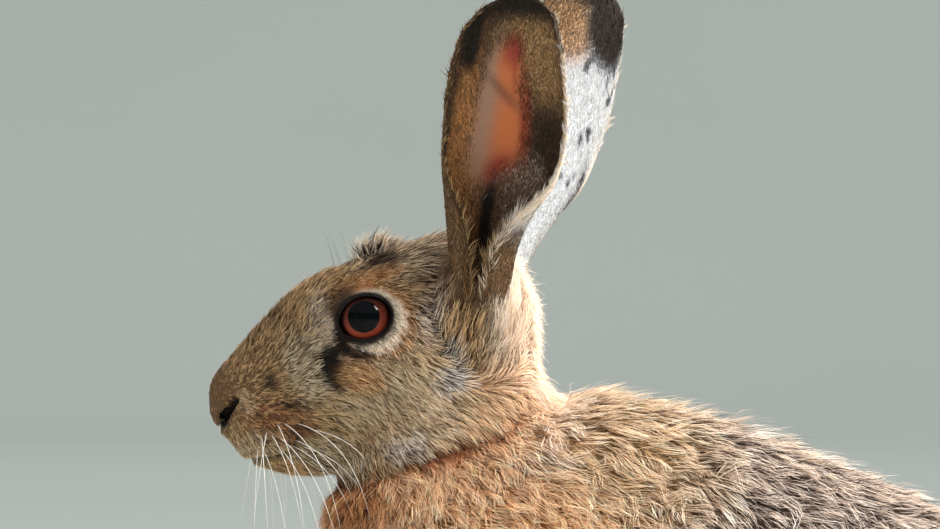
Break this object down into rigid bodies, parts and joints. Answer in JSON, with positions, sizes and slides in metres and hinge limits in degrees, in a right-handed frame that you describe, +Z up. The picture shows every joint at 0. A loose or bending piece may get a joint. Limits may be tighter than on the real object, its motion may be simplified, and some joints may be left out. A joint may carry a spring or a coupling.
{
  "type": "brown hare",
  "caption": "Life-size still model of a brown hare sitting alert on straight forelegs, ears up, for display as in a natural history museum.",
  "frame": {"origin": "the floor under the middle of the hare's box, between the four feet", "axes": "+Z up, the hare faces -X, its left side is towards -Y"},
  "size_m": [0.447, 0.1566, 0.4081],
  "materials": {
    "fur_head": "short brown fur flecked with black and buff",
    "fur_neck": "soft orange-buff fur in loose curled tufts",
    "fur_back": "longer fur, pale grey tips over dark brown",
    "fur_haunch": "brown fur, warmer on the thigh",
    "fur_leg": "short ochre fur",
    "fur_ear": "very short fur, black at the tip, bare pink skin in the cup",
    "fur_tail": "long soft fur, white below and black above",
    "eye": "wet gloss, red-brown iris and black pupil",
    "claw": "dark horn, satin"
  },
  "bodies": {
    "root": {"head": "fur_head", "neck": "fur_neck", "torso": "fur_back", "tail": "fur_tail", "ear_left": "fur_ear", "eye_left": "eye", "shoulder_left": "fur_back", "foreleg_left": "fur_leg", "forepaw_left": "fur_leg", "thigh_left": "fur_haunch", "shank_left": "fur_haunch", "hind_foot_left": "fur_leg", "claw_fore_left_1": "claw", "claw_fore_left_2": "claw", "claw_fore_left_3": "claw", "claw_fore_left_4": "claw", "claw_hind_left_1": "claw", "claw_hind_left_2": "claw", "claw_hind_left_3": "claw", "claw_hind_left_4": "claw", "ear_right": "fur_ear", "eye_right": "eye", "shoulder_right": "fur_back", "foreleg_right": "fur_leg", "forepaw_right": "fur_leg", "thigh_right": "fur_haunch", "shank_right": "fur_haunch", "hind_foot_right": "fur_leg", "claw_fore_right_1": "claw", "claw_fore_right_2": "claw", "claw_fore_right_3": "claw", "claw_fore_right_4": "claw", "claw_hind_right_1": "claw", "claw_hind_right_2": "claw", "claw_hind_right_3": "claw", "claw_hind_right_4": "claw"}
  },
  "joints": []
}
